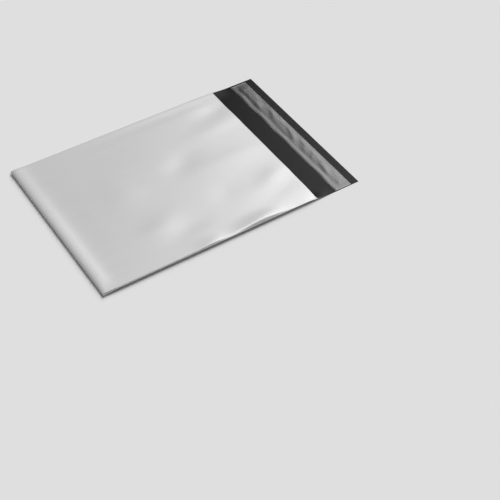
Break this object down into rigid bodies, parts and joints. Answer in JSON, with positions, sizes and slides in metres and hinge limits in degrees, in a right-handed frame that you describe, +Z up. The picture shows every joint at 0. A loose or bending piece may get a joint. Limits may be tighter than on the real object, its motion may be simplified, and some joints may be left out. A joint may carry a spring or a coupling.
{
  "type": "poly mailer bag",
  "caption": "Flat film mailer pouch, open at the mouth, with a folded bottom, welded sides and a dark-lined flap that carries an adhesive stripe under a release liner.",
  "frame": {"origin": "on the surface that the bag lies on, under the middle of its whole length and width", "axes": "+X across the bag, +Y from the bottom fold to the end of the flap, +Z up out of the front panel"},
  "size_m": [0.254, 0.3704, 0.0075],
  "materials": {
    "mailer_film": "white satin polyethylene film outside, dark grey inside",
    "adhesive_strip": "clear hot-melt adhesive over the dark film",
    "release_liner": "thin translucent siliconised film, slightly crinkled"
  },
  "bodies": {
    "root": {"mailer_film": "mailer_film", "adhesive_strip": "adhesive_strip", "release_liner": "release_liner"}
  },
  "joints": []
}
